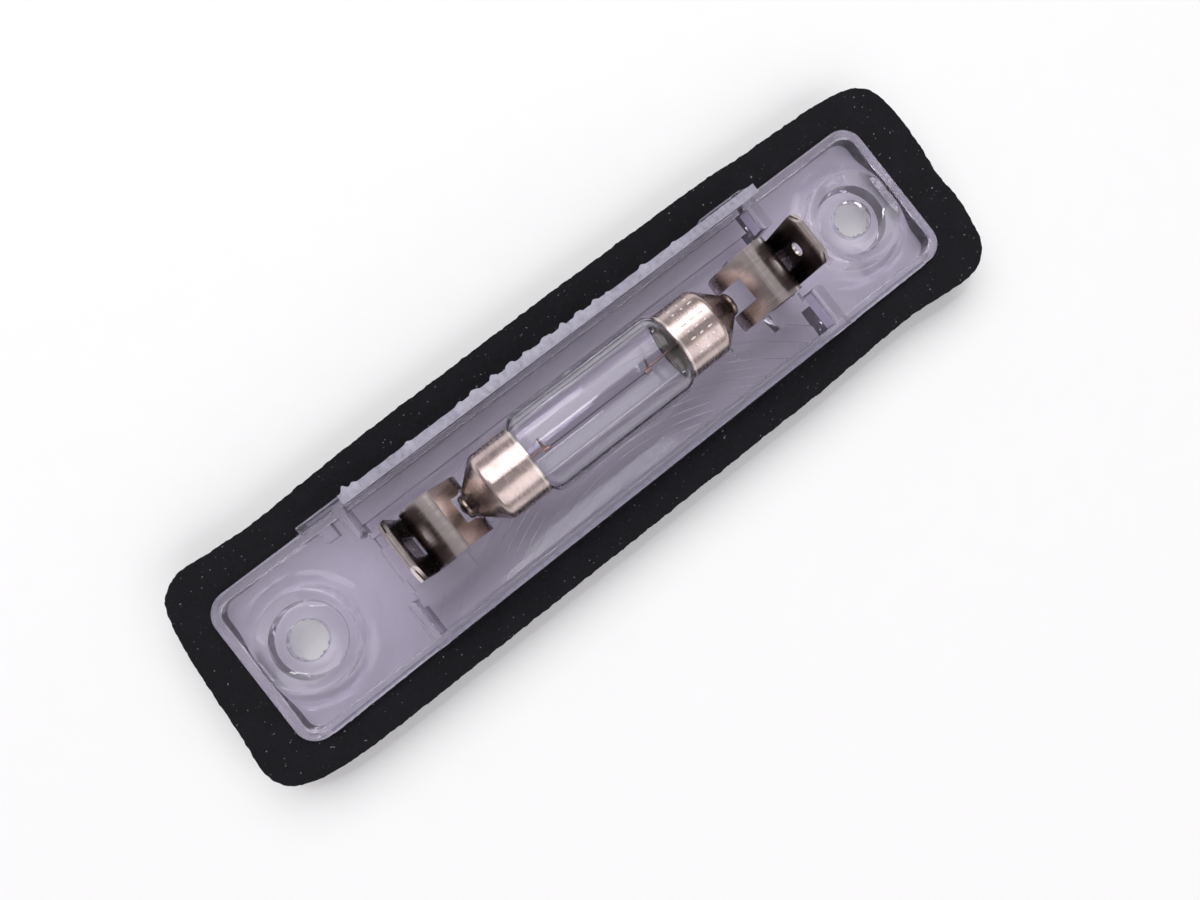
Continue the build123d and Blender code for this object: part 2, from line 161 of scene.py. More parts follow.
class Finish:
    """A material with one Principled surface, and short calls that add nodes to it."""

    def __init__(self, name):
        self.material = bpy.data.materials.new(name)
        self.material.use_nodes = True
        self.nodes = self.material.node_tree.nodes
        self.links = self.material.node_tree.links
        self.surface = self.nodes["Principled BSDF"]
        self.place = self.add("ShaderNodeTexCoord").outputs["Object"]

    def add(self, kind, **settings):
        node = self.nodes.new(kind)
        for name, value in settings.items():
            setattr(node, name, value)
        return node

    def set(self, **values):
        """Set sockets of the surface: an output is linked, and anything else is a plain value."""
        for name, value in values.items():
            socket = self.surface.inputs[name.replace("_", " ")]
            if isinstance(value, bpy.types.NodeSocket):
                self.links.new(value, socket)
            else:
                socket.default_value = value

    def stretched(self, scale):
        mapping = self.add("ShaderNodeMapping")
        mapping.inputs["Scale"].default_value = scale
        self.links.new(self.place, mapping.inputs["Vector"])
        return mapping.outputs["Vector"]

    def noise(self, size, detail=2.0, stretch=None):
        """Soft noise with features of about the given size."""
        texture = self.add("ShaderNodeTexNoise")
        texture.inputs["Scale"].default_value = 1.0 / size
        texture.inputs["Detail"].default_value = detail
        place = self.stretched(stretch) if stretch else self.place
        self.links.new(place, texture.inputs["Vector"])
        return texture.outputs["Fac"]

    def ranged(self, source, low, high, out_low, out_high):
        node = self.add("ShaderNodeMapRange")
        for name, value in zip(("From Min", "From Max", "To Min", "To Max"), (low, high, out_low, out_high)):
            node.inputs[name].default_value = value
        self.links.new(source, node.inputs["Value"])
        return node.outputs["Result"]

    def mixed(self, share, first, second):
        """A colour between two, by the share of the second."""
        node = self.add("ShaderNodeMix", data_type="RGBA")
        self.links.new(share, node.inputs["Factor"])
        for socket, value in ((node.inputs[6], first), (node.inputs[7], second)):
            if isinstance(value, bpy.types.NodeSocket):
                self.links.new(value, socket)
            else:
                socket.default_value = (*value, 1.0)
        return node.outputs[2]

    def added(self, first, second, share):
        """first plus share times second."""
        node = self.add("ShaderNodeMath", operation="MULTIPLY_ADD")
        self.links.new(second, node.inputs[0])
        node.inputs[1].default_value = share
        self.links.new(first, node.inputs[2])
        return node.outputs["Value"]

    def axis(self, name):
        node = self.add("ShaderNodeSeparateXYZ")
        self.links.new(self.place, node.inputs["Vector"])
        return node.outputs[name]

    def worked(self, operation, *values):
        """The result of a sum on outputs and plain numbers."""
        node = self.add("ShaderNodeMath", operation=operation)
        for socket, value in zip(node.inputs, values):
            if isinstance(value, bpy.types.NodeSocket):
                self.links.new(value, socket)
            else:
                socket.default_value = value
        return node.outputs["Value"]

    def from_middle(self, middle):
        """Distance along X from the given place, to either side."""
        return self.worked("ABSOLUTE", self.worked("SUBTRACT", self.axis("X"), middle))

    def from_axis(self, first, second):
        """Distance from an axis, by the two places across it."""
        return self.worked("SQRT", self.worked(
            "ADD", self.worked("MULTIPLY", first, first), self.worked("MULTIPLY", second, second)
        ))

    def bump(self, height, distance, strength=1.0):
        node = self.add("ShaderNodeBump")
        node.inputs["Distance"].default_value = distance
        node.inputs["Strength"].default_value = strength
        self.links.new(height, node.inputs["Height"])
        self.links.new(node.outputs["Normal"], self.surface.inputs["Normal"])


def shaded(value, share):
    return tuple(min(1.0, channel * share) for channel in value)


def clear_plastic(settings):
    """Moulded clear plastic with soft flow waves and fine rub marks, rougher on the counterbores' walls."""
    finish = Finish("clear_plastic")
    flow = finish.noise(9 * MM, 2.0, stretch=(0.4, 1.0, 1.0))
    rubs = finish.noise(0.5 * MM, 4.0, stretch=(0.25, 1.0, 1.0))
    tint = tuple(settings.tint)
    along = finish.worked("SUBTRACT", finish.from_middle(0.0), SCREW_PLACE)
    radius = finish.from_axis(along, finish.axis("Y"))
    off_wall = finish.worked("ABSOLUTE", finish.worked("SUBTRACT", radius, COUNTERBORE_RADIUS))
    cut_wall = finish.ranged(off_wall, FADE, 2 * FADE, 1.0, 0.0)
    finish.set(
        Base_Color=finish.mixed(flow, shaded(tint, 0.95), shaded(tint, 1.05)),
        Roughness=finish.added(finish.ranged(rubs, 0.35, 0.8, 0.0, 0.03), cut_wall, 0.1),
        Transmission_Weight=0.95,
        IOR=PLASTIC_IOR,
    )
    finish.bump(flow, 0.12 * MM, 0.5)
    return finish.material


def milky_plastic_and_highlight(name, tint):
    """Thin rough edge of the clear plastic, milky because light scatters in it; on the optic arcs it makes the pale
    beads that paint highlights on their crests.
    """
    finish = Finish(name)
    tears = finish.noise(0.6 * MM, 3.0)
    pale = finish.ranged(tears, 0.35, 0.7, 0.0, 1.0)
    finish.set(
        Base_Color=finish.mixed(pale, shaded(tint, 0.85), shaded(tint, 1.1)),
        Roughness=finish.ranged(tears, 0.3, 0.7, 0.25, 0.4),
        IOR=PLASTIC_IOR,
    )
    finish.bump(tears, 0.02 * MM, 0.2)
    return finish.material


def foam(settings):
    """Closed-cell foam: matt and nearly black, with fine cells and pale dust."""
    finish = Finish("foam")
    blotches = finish.noise(2.5 * MM, 3.0)
    grain = finish.noise(0.16 * MM, 3.0)
    dust = finish.noise(0.35 * MM, 1.0)
    base = tuple(settings.foam_colour)
    dark = finish.mixed(finish.ranged(grain, 0.35, 0.68, 0.0, 1.0), shaded(base, 0.5), shaded(base, 1.9))
    worn = finish.mixed(finish.ranged(blotches, 0.45, 0.8, 0.0, 0.5), dark, shaded(base, 2.2))
    specks = finish.ranged(dust, 0.74, 0.80, 0.0, 1.0)
    finish.set(
        Base_Color=finish.mixed(specks, worn, tuple(settings.speck_colour)),
        Roughness=finish.ranged(grain, 0.3, 0.7, 0.85, 1.0),
        Specular_IOR_Level=0.25,
    )
    finish.bump(grain, 0.12 * MM, 0.7)
    return finish.material


def strip_metal(settings):
    """Rolled and plated strip: brushed along its length, with painted shade that turns it darker brown low down,
    mixed with blotchy tarnish, and painted shade that turns it nearly black in the folds.
    """
    finish = Finish("contact_strip")
    clean, tarnish_and_shade = tuple(settings.strip_colour), tuple(settings.tarnish_and_shade_colour)
    brushing = finish.noise(0.35 * MM, 3.0, stretch=(0.12, 1.0, 0.12))
    blotches = finish.noise(1.6 * MM, 2.0)
    # painted shade: low down the strip goes towards the darker tarnish colour, mixed with blotches of real tarnish
    height = finish.ranged(finish.axis("Z"), 4 * MM, 12 * MM, 0.75, 0.0)
    tarnish_and_low_shade = finish.ranged(finish.added(height, blotches, 0.7), 0.25, 0.95, 0.0, 1.0)
    brushed = finish.mixed(brushing, shaded(clean, 0.93), shaded(clean, 1.06))
    (low, _), (_, high) = (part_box(f"contact_{side}") for side in SIDES)
    outwards = finish.from_middle((low.x + high.x) / 2)
    reach = (high.x - low.x) / 2
    leg, layer = reach - FOLD_DEPTH, reach - TAB_LAYER
    past_leg = finish.ranged(outwards, leg, leg + FADE, 0.0, 1.0)
    before_back = finish.ranged(outwards, layer - FADE, layer, 1.0, 0.0)
    below_tip = finish.ranged(finish.axis("Z"), high.z - 1.1 * MM, high.z - 0.5 * MM, 1.0, 0.0)
    folds = finish.worked("MULTIPLY", finish.worked("MULTIPLY", past_leg, before_back), below_tip)
    # painted shade: nearly black inside the tabs' folds, broken up by the blotches
    fold_shade = finish.worked("MULTIPLY", folds, finish.ranged(blotches, 0.2, 0.6, 0.8, 1.0))
    dull_back = finish.worked(
        "MULTIPLY", finish.ranged(outwards, layer - 0.06 * MM, layer - 0.02 * MM, 0.0, 1.0),
        finish.ranged(outwards, layer + 0.02 * MM, layer + 0.06 * MM, 1.0, 0.0),
    )
    strip = finish.mixed(dull_back, finish.mixed(tarnish_and_low_shade, brushed, tarnish_and_shade), tuple(settings.dull_colour))
    finish.set(
        Base_Color=finish.mixed(fold_shade, strip, tuple(settings.fold_shade_colour)),
        Metallic=finish.ranged(dull_back, 0.0, 1.0, 1.0, 0.2),
        Roughness=finish.ranged(finish.added(brushing, tarnish_and_low_shade, 0.4), 0.3, 1.1, 0.16, 0.34),
    )
    finish.bump(brushing, 0.02 * MM, 0.1)
    return finish.material


def cap_metal(settings):
    """Bright nickel on brass with brown stains, painted shade that darkens the cones, and a pale dull colour inside
    that paints the reflections there.
    """
    finish = Finish("cap_metal")
    base, cone_shade = tuple(settings.cap_colour), tuple(settings.cone_shade_colour)
    low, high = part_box("bulb_glass")
    middle = (low + high) / 2
    stains = finish.noise(2.2 * MM, 3.0)
    rubs = finish.noise(0.3 * MM, 4.0, stretch=(1.0, 0.3, 0.3))
    stained = finish.mixed(finish.ranged(stains, 0.4, 0.75, 0.0, 0.8), base, shaded(base, 0.66))
    outwards = finish.from_middle(middle.x)
    # painted shade on the cones, down among the contacts' fingers, broken up by the stains
    tips = finish.ranged(outwards, CONE_START, CONE_START + 1.6 * MM, 0.0, 1.0)
    shaded_cones = finish.worked("MULTIPLY", tips, finish.ranged(stains, 0.25, 0.6, 0.6, 1.0))
    across = finish.worked("SUBTRACT", finish.axis("Y"), middle.y)
    upwards = finish.worked("SUBTRACT", finish.axis("Z"), middle.z)
    radius = finish.from_axis(across, upwards)
    # inside the bores by the mouths the caps take the pale dull colour of a painted reflection
    mouths = finish.ranged(outwards, CONE_START - 1.0 * MM, CONE_START - 0.5 * MM, 1.0, 0.0)
    in_bore = finish.ranged(radius, CAP_BORE_RADIUS - FADE / 2, CAP_BORE_RADIUS, 1.0, 0.0)
    inside = finish.worked("MULTIPLY", mouths, in_bore)
    finish.set(
        Base_Color=finish.mixed(inside, finish.mixed(shaded_cones, stained, cone_shade), CAP_INSIDE_REFLECTION_COLOUR),
        Metallic=finish.ranged(inside, 0.0, 1.0, 1.0, 0.0),
        Roughness=finish.added(finish.ranged(rubs, 0.3, 0.75, 0.2, 0.34), inside, 0.4),
    )
    finish.bump(finish.added(stains, rubs, 0.15), 0.08 * MM, 0.2)
    return finish.material


def drawn_glass():
    """Clear drawn glass with faint streaks along the tube."""
    finish = Finish("bulb_glass")
    streaks = finish.noise(0.8 * MM, 2.0, stretch=(0.06, 1.0, 1.0))
    finish.set(
        Base_Color=finish.mixed(streaks, *GLASS_COLOURS),
        Roughness=finish.ranged(streaks, 0.3, 0.8, 0.0, 0.03),
        Transmission_Weight=1.0,
        IOR=GLASS_IOR,
    )
    finish.bump(streaks, 0.03 * MM, 0.08)
    return finish.material


def wire_metal(name, base, roughness):
    """Dull metal with fine drawing marks."""
    finish = Finish(name)
    drawing = finish.noise(0.12 * MM, 3.0)
    finish.set(
        Base_Color=finish.mixed(drawing, shaded(base, 0.7), shaded(base, 1.25)),
        Metallic=1.0,
        Roughness=finish.ranged(drawing, 0.3, 0.7, roughness, roughness + 0.2),
    )
    finish.bump(drawing, 0.01 * MM, 0.4)
    return finish.material


def cement():
    """Gritty cap cement."""
    finish = Finish("cement")
    grit = finish.noise(0.25 * MM, 4.0)
    finish.set(
        Base_Color=finish.mixed(grit, *CEMENT_COLOURS),
        Roughness=finish.ranged(grit, 0.3, 0.7, 0.75, 0.95),
    )
    finish.bump(grit, 0.05 * MM, 0.6)
    return finish.material


# pieces

def paint(node, material):
    """Give a solid of the frame its finish."""
    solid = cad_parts[node]
    solid.data.materials.clear()
    solid.data.materials.append(material)


def new_piece(name, mesh, material, replaced=()):
    """A finished mesh as a piece of the lamp."""
    mesh.materials.clear()
    mesh.materials.append(material)
    piece = bpy.data.objects.new(name, mesh)
    bpy.context.scene.collection.objects.link(piece)
    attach(piece, BODY)
    if replaced:
        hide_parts(*replaced)
    return piece


def mesh_from(shape, name):
    """A mesh from a bmesh, with its normals outwards and its edges smooth up to an angle."""
    bmesh.ops.recalc_face_normals(shape, faces=shape.faces)
    for face in shape.faces:
        face.smooth = True
    for edge in shape.edges:
        if len(edge.link_faces) == 2 and edge.calc_face_angle(0.0) > SMOOTH_ANGLE:
            edge.smooth = False
    mesh = bpy.data.meshes.new(name)
    shape.to_mesh(mesh)
    shape.free()
    return mesh


def skin_over(shape, rings, closed=True):
    """Join rings of corners, one after the other, into a skin; a closed one also joins the last to the first."""
    for ring, following in zip(rings, rings[1:] + rings[:1] if closed else rings[1:]):
        for index, corner in enumerate(ring):
            after = (index + 1) % len(ring)
            shape.faces.new((corner, ring[after], following[after], following[index]))


class Growth:
    """A Geometry Nodes tree with named inputs, and short calls that add nodes to it."""

    def __init__(self, name):
        self.tree = bpy.data.node_groups.new(name, "GeometryNodeTree")
        self.tree.interface.new_socket("Geometry", in_out="OUTPUT", socket_type="NodeSocketGeometry")
        self.entry = self.tree.nodes.new("NodeGroupInput")
        self.values = {}

    def input(self, name, value):
        kind = "NodeSocketInt" if isinstance(value, int) else "NodeSocketFloat"
        socket = self.tree.interface.new_socket(name, in_out="INPUT", socket_type=kind)
        self.values[socket.identifier] = value
        return self.entry.outputs[name]

    def add(self, kind, values, output=0, **settings):
        """Add a node: an output is linked to the input of that name or number, and the rest are plain values."""
        node = self.tree.nodes.new(kind)
        for name, value in settings.items():
            setattr(node, name, value)
        for name, value in values.items():
            if isinstance(value, bpy.types.NodeSocket):
                self.tree.links.new(value, node.inputs[name])
            else:
                node.inputs[name].default_value = value
        return node.outputs[output]

    def sum(self, operation, *values):
        return self.add("ShaderNodeMath", dict(enumerate(values)), operation=operation)

    def vector(self, x, y, z):
        return self.add("ShaderNodeCombineXYZ", {"X": x, "Y": y, "Z": z})

    def mesh(self, geometry, material):
        """The grown shape as a plain mesh."""
        name = self.tree.name
        smooth = self.add("GeometryNodeSetShadeSmooth", {"Geometry": geometry})
        real = self.add("GeometryNodeRealizeInstances", {"Geometry": smooth})
        finished = self.add("GeometryNodeSetMaterial", {"Geometry": real, "Material": material})
        exit_node = self.tree.nodes.new("NodeGroupOutput")
        self.tree.links.new(finished, exit_node.inputs["Geometry"])
        carrier = bpy.data.objects.new(name, bpy.data.meshes.new(name))
        bpy.context.scene.collection.objects.link(carrier)
        modifier = carrier.modifiers.new(name, "NODES")
        modifier.node_group = self.tree
        for identifier, value in self.values.items():
            modifier[identifier] = value
        grown = bpy.data.meshes.new_from_object(carrier.evaluated_get(bpy.context.evaluated_depsgraph_get()))
        bpy.data.objects.remove(carrier)
        if not grown.polygons:
            raise RuntimeError(f"{name} has grown nothing")
        return grown


# foam gasket

# outline of the foam as it was cut, counter-clockwise from the lower left corner, in millimetres
FOAM_OUTLINE = (
    (-46.0, -13.0), (-40.0, -13.45), (-30.0, -13.6), (-15.0, -13.7), (0.0, -13.8), (12.0, -13.85),
    (24.0, -13.9), (32.0, -13.65), (38.0, -13.6), (43.0, -14.05), (47.0, -14.3), (49.5, -13.4),
    (51.0, -11.6), (51.6, -9.0), (52.05, -6.0), (51.9, -2.0), (52.4, 2.0), (52.6, 6.0), (52.3, 9.5),
    (51.0, 12.0), (48.5, 13.1), (45.0, 13.6), (40.0, 13.9), (33.0, 14.1), (28.0, 14.4), (14.0, 14.55),
    (0.0, 14.6), (-12.0, 14.5), (-22.0, 14.4), (-31.0, 14.1), (-37.0, 13.8), (-42.0, 14.05), (-46.0, 14.35),
    (-48.4, 13.4), (-49.6, 11.6), (-50.4, 8.0), (-51.0, 2.0), (-51.4, -4.0), (-51.8, -8.0), (-51.2, -10.4),
    (-49.3, -12.0),
)
# half the length, half the width and the corner radius of the opening, and start, end and depth of its notch
FOAM_OPENING = (46.75 * MM, 9.85 * MM, 2.85 * MM)
LIP_NOTCH = (-33.3 * MM, 30.4 * MM, 0.7 * MM)
FOAM_SAMPLES = 900
FOAM_ROWS = 26
FOAM_WALL_ROWS = 6
# coarse and fine size of the wander of the cut edges, and small and large size of the cells
RAG_SIZES = (0.9 * MM, 0.3 * MM)
CELL_SIZES = (0.45 * MM, 3.5 * MM)
SPAN_STEPS = 24


def smooth_loop(points, count):
    """Points spread evenly along a smooth closed line through the given ones."""
    fine = []
    total = len(points)
    for index in range(total):
        before, start, end, after = (Vector(points[(index + shift) % total]) for shift in (-1, 0, 1, 2))
        for step in range(SPAN_STEPS):
            t = step / SPAN_STEPS
            fine.append(0.5 * (
                2 * start + (end - before) * t + (2 * before - 5 * start + 4 * end - after) * t * t
                + (3 * start - before - 3 * end + after) * t ** 3
            ))
    lengths = [0.0]
    for index, point in enumerate(fine):
        lengths.append(lengths[-1] + (fine[(index + 1) % len(fine)] - point).length)
    loop = []
    segment = 0
    for sample in range(count):
        target = lengths[-1] * sample / count
        while lengths[segment + 1] < target:
            segment += 1
        share = (target - lengths[segment]) / (lengths[segment + 1] - lengths[segment])
        loop.append(fine[segment].lerp(fine[(segment + 1) % len(fine)], share))
    return loop


def on_rounded_opening(point, half_length, half_width, corner):
    """The nearest point of a rounded rectangle around the origin."""
    core = Vector((
        max(-half_length + corner, min(half_length - corner, point.x)),
        max(-half_width + corner, min(half_width - corner, point.y)),
    ))
    return core + (point - core).normalized() * corner


class PLATELAMP_OT_gasket(bpy.types.Operator):
    """Cut the foam gasket with its uneven outline and open cells"""
    bl_idname = "plate_lamp.gasket"
    bl_label = "Foam Gasket"

    def execute(self, context):
        settings = context.scene.plate_lamp_gasket
        low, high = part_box("foam_gasket")
        outer = [point * MM for point in smooth_loop(FOAM_OUTLINE, FOAM_SAMPLES)]
        inner = [on_rounded_opening(point, *FOAM_OPENING) for point in outer]
        notch_start, notch_end, notch_depth = LIP_NOTCH
        for point in inner:
            if notch_start < point.x < notch_end and point.y > 0.9 * FOAM_OPENING[1]:
                point.y += notch_depth
        shape = bmesh.new()
        rings = []
        rows = [(row / FOAM_ROWS, high.z, 1.0) for row in range(FOAM_ROWS + 1)]
        depths = [(high.z - low.z) * row / FOAM_WALL_ROWS for row in range(1, FOAM_WALL_ROWS)]
        rows += [(1.0, high.z - depth, 0.0) for depth in depths]
        rows += [(1.0 - row / FOAM_ROWS, low.z, 0.0) for row in range(FOAM_ROWS + 1)]
        rows += [(0.0, low.z + depth, 0.0) for depth in depths]
        for share, z, face in rows:
            ring = []
            for start, end in zip(inner, outer):
                flat = start.lerp(end, share)
                place = Vector((flat.x, flat.y, z))
                across = (end - start).normalized()
                edge = 1.0 if share in (0.0, 1.0) else 0.0
                wander = noise.noise(place / RAG_SIZES[0]) + 0.6 * noise.noise(place / RAG_SIZES[1])
                cells = noise.noise(place / CELL_SIZES[0]) + 0.7 * noise.noise(place / CELL_SIZES[1])
                place += Vector((*across, 0.0)) * wander * settings.rag * edge
                place.z += cells * settings.cell_depth * (1.0 if face and not edge else 0.3)
                ring.append(shape.verts.new(place))
            rings.append(ring)
        skin_over(shape, rings)
        mesh = mesh_from(shape, "foam_ring")
        new_piece("foam_ring", mesh, foam(settings), ["foam_gasket"])
        return {"FINISHED"}


# lens

# edges that carry flash: start and end along X, inner and outer line, depth below the lip, thickness,
# share of the full reach
LIP_FLASH = (-27.7 * MM, 31.2 * MM, 9.0 * MM, 10.2 * MM, 0.0, 0.05 * MM, 1.0)
RIM_FLASH = (-43.5 * MM, 43.0 * MM, -9.2 * MM, -9.72 * MM, 2.05 * MM, 0.05 * MM, 0.45)
FLASH_STEP = 0.12 * MM
FLASH_PITCH = 2.4 * MM
TORN_STRETCH = (-12.0 * MM, 10.0 * MM)
LIP_NIBS = ((-26.7 * MM, 1.0), (-25.6 * MM, 0.4), (-18.3 * MM, 0.35), (14.6 * MM, 0.45), (19.2 * MM, 0.3))
NIB_WIDTH = 0.35 * MM

# flash in the screw holes: depth below the boss and share of the full reach, with none on the hole's wall
HOLE_ROWS = ((0.22 * MM, 0.6), (0.1 * MM, 1.0), (0.02 * MM, 0.7), (0.12 * MM, 0.0))
HOLE_FRINGE, HOLE_TEAR = 0.06 * MM, 0.75 * MM
HOLE_STEPS = 120
HOLE_GAP = 0.005 * MM
SCREW_HOLE = 2.35 * MM
BOSS_DEPTH = 3.6 * MM

# optic arcs: their common middle, the first radius, the pitch and the depth of their crests below the lip
OPTIC_MIDDLE = (0.3 * MM, -37.65 * MM)
OPTIC_FIRST = 28.95 * MM
OPTIC_PITCH = 1.05 * MM
OPTIC_CREST = 5.66 * MM
ARC_STEPS = 160
BAY_LINE = (-22.5 * MM, 26.0 * MM, -8.4 * MM, -2.0 * MM)

# beads on the optic arcs, which carry a painted highlight: where they are strongest, the size and contrast of their
# swelling, and the least share of the radius
BRIGHT_PLACE, BRIGHT_REACH = -8 * MM, 12 * MM
BEAD_WAVE, BEAD_CONTRAST, BEAD_LEAST = 7 * MM, 5.0, 0.04
BEAD_SIDES = 8


class PLATELAMP_OT_lens(bpy.types.Operator):
    """Give the lens its clear plastic"""
    bl_idname = "plate_lamp.lens"
    bl_label = "Lens"

    def execute(self, context):
        paint("lens", clear_plastic(context.scene.plate_lamp_lens))
        return {"FINISHED"}


def lip_height():
    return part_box("lens")[1].z


def torn_reach(x, reach):
    """How far torn flash stands out at a place along its edge: knobs on a low fringe."""
    knobs = math.sin(math.tau * x / FLASH_PITCH + 2.5 * noise.noise((x / (4 * MM), 0.0, 7.0)))
    fringe = 0.5 + 0.5 * noise.noise((x / (0.7 * MM), 3.0, 0.0))
    low, high = TORN_STRETCH
    fade = min(1.0, max(0.12, min(x - low, high - x) / MM))
    torn = fade * (0.25 * fringe + max(0.0, knobs) ** 0.6 * (0.25 + 0.5 * fringe))
    nibs = sum(share * math.exp(-((x - place) / NIB_WIDTH) ** 2) for place, share in LIP_NIBS)
    return reach * (torn + nibs)


def ragged_reach(x, reach):
    """How far a ragged edge stands out: small uneven teeth."""
    teeth = noise.noise((x / (0.8 * MM), 0.0, 1.0)) + 0.6 * noise.noise((x / (0.3 * MM), 5.0, 0.0))
    swell = 0.5 + 0.5 * noise.noise((x / (9 * MM), 2.0, 4.0))
    return reach * max(0.05, 0.3 + 0.6 * teeth) * swell


def flash_strip(name, edge, reach, outline):
    """A thin strip on an edge of the lens, whose free side stands out as the outline says."""
    start, end, inner, outer, depth, thickness, share = edge
    height = lip_height() - depth
    outwards = math.copysign(1.0, outer - inner)
    shape = bmesh.new()
    rings = []
    count = int((end - start) / FLASH_STEP)
    for index in range(count + 1):
        x = start + (end - start) * index / count
        free = outer + outwards * outline(x, reach * share)
        corners = (
            (inner, height), (outer, height + thickness), (free, height), (outer, height - 4 * thickness)
        )
        rings.append([shape.verts.new((x, y, z)) for y, z in corners])
    skin_over(shape, rings, closed=False)
    for ring in (rings[0], rings[-1]):
        shape.faces.new(ring)
    return mesh_from(shape, name)


def hole_flash(place, seed):
    """A torn skin of plastic around the rear edge of a screw hole."""
    shape = bmesh.new()
    rings = []
    top = lip_height() - BOSS_DEPTH
    for depth, share in HOLE_ROWS:
        ring = []
        for step in range(HOLE_STEPS):
            angle = math.tau * step / HOLE_STEPS
            x, y = math.cos(angle), math.sin(angle)
            torn = max(0.0, noise.noise((2.2 * x, 2.2 * y, seed)) + 0.5 * noise.noise((6 * x, 6 * y, seed)))
            inset = share * (HOLE_FRINGE + HOLE_TEAR * torn) if share else HOLE_GAP
            radius = SCREW_HOLE - inset
            ring.append(shape.verts.new((place + radius * x, radius * y, top - depth)))
        rings.append(ring)
    skin_over(shape, rings)
    return mesh_from(shape, "hole_flash")


class PLATELAMP_OT_flash(bpy.types.Operator):
    """Leave thin torn flash on the lip, along the rim and in the screw holes"""
    bl_idname = "plate_lamp.flash"
    bl_label = "Moulding Flash"

    def execute(self, context):
        settings = context.scene.plate_lamp_lens
        material = milky_plastic_and_highlight("milky_flash", tuple(settings.flash_tint))
        reach = settings.flash_reach
        pieces = {
            "lip_flash": flash_strip("lip_flash", LIP_FLASH, reach, torn_reach),
            "rim_flash": flash_strip("rim_flash", RIM_FLASH, reach, ragged_reach),
            "hole_flash_left": hole_flash(-SCREW_PLACE, 1.7),
            "hole_flash_right": hole_flash(SCREW_PLACE, 8.2),
        }
        for name, mesh in pieces.items():
            new_piece(name, mesh, material)
        return {"FINISHED"}


class PLATELAMP_OT_optic(bpy.types.Operator):
    """Run fine pale beads along the optic arcs on the bay floor, as painted highlights on their crests"""
    bl_idname = "plate_lamp.optic"
    bl_label = "Optic Beads"

    def execute(self, context):
        settings = context.scene.plate_lamp_lens
        growth = Growth("optic_beads")
        radius = growth.input("Bead Radius", settings.bead_radius)
        count = growth.input("Bead Count", settings.bead_count)
        first = growth.input("First Arc", OPTIC_FIRST)
        pitch = growth.input("Arc Pitch", OPTIC_PITCH)
        line = growth.add("GeometryNodeMeshLine", {"Count": count, "Offset": (0.0, 0.0, 0.0)})
        number = growth.add("GeometryNodeInputIndex", {})
        size = growth.sum("MULTIPLY_ADD", number, pitch, first)
        arc = growth.add("GeometryNodeCurveArc", {
            "Resolution": ARC_STEPS, "Radius": 1.0, "Start Angle": 0.0, "Sweep Angle": math.pi,
        })
        arcs = growth.add("GeometryNodeInstanceOnPoints", {
            "Points": line, "Instance": arc, "Scale": growth.vector(size, size, 1.0),
        })
        real = growth.add("GeometryNodeRealizeInstances", {"Geometry": arcs})
        moved = growth.add("GeometryNodeTransform", {
            "Geometry": real, "Translation": (*OPTIC_MIDDLE, lip_height() - OPTIC_CREST),
        })
        low_x, high_x, low_y, high_y = BAY_LINE
        place = growth.add("GeometryNodeInputPosition", {})
        x, y = (growth.add("ShaderNodeSeparateXYZ", {"Vector": place}, output=axis) for axis in ("X", "Y"))
        past_ends = growth.sum("MAXIMUM", growth.sum("LESS_THAN", x, low_x), growth.sum("GREATER_THAN", x, high_x))
        past_sides = growth.sum("MAXIMUM", growth.sum("LESS_THAN", y, low_y), growth.sum("GREATER_THAN", y, high_y))
        outside = growth.sum("MAXIMUM", past_ends, past_sides)
        kept = growth.add("GeometryNodeDeleteGeometry", {"Geometry": moved, "Selection": outside})
        waves = growth.add("ShaderNodeTexNoise", {"Vector": place, "Scale": 1.0 / BEAD_WAVE, "Detail": 1.0})
        far = growth.sum("ABSOLUTE", growth.sum("SUBTRACT", x, BRIGHT_PLACE))
        near = growth.sum("MAXIMUM", 0.0, growth.sum("MULTIPLY_ADD", far, -1.0 / BRIGHT_REACH, 1.0))
        uneven = growth.sum("MULTIPLY_ADD", waves, BEAD_CONTRAST, -BEAD_CONTRAST / 2)
        wave = growth.sum("ADD", uneven, near)
        swell = growth.sum("MINIMUM", 1.0, growth.sum("MAXIMUM", BEAD_LEAST, wave))
        swelling = growth.add("GeometryNodeSetCurveRadius", {"Curve": kept, "Radius": swell})
        section = growth.add("GeometryNodeCurvePrimitiveCircle", {"Resolution": BEAD_SIDES, "Radius": radius})
        beads = growth.add("GeometryNodeCurveToMesh", {
            "Curve": swelling, "Profile Curve": section, "Scale": growth.add("GeometryNodeInputRadius", {}),
            "Fill Caps": True,
        })
        material = milky_plastic_and_highlight("optic_bead", tuple(settings.bead_highlight_colour))
        new_piece("optic_beads", growth.mesh(beads, material), material)
        return {"FINISHED"}


# contacts

class PLATELAMP_OT_contacts(bpy.types.Operator):
    """Give the contacts their brushed and tarnished strip metal"""
    bl_idname = "plate_lamp.contacts"
    bl_label = "Contacts"

    def execute(self, context):
        material = strip_metal(context.scene.plate_lamp_contacts)
        for side in SIDES:
            paint(f"contact_{side}", material)
        return {"FINISHED"}


# bulb

TICK_SIZE = (0.42 * MM, 0.11 * MM, 0.09 * MM)
TICK_ROW_PITCH = 1.15 * MM
TICK_SPREAD = math.radians(85)
TICK_TURN = math.radians(8)
TICK_SHARES = (0.45, 1.1)
TICK_SEED = 4
RIM_SINK, RIM_SWELL = 0.12 * MM, 0.13 * MM
RIM_INSIDE_SHARE = 0.3
RIM_SIDES, RIM_STEPS = 20, 96
COIL_STEPS, WIRE_SIDES = 14, 6


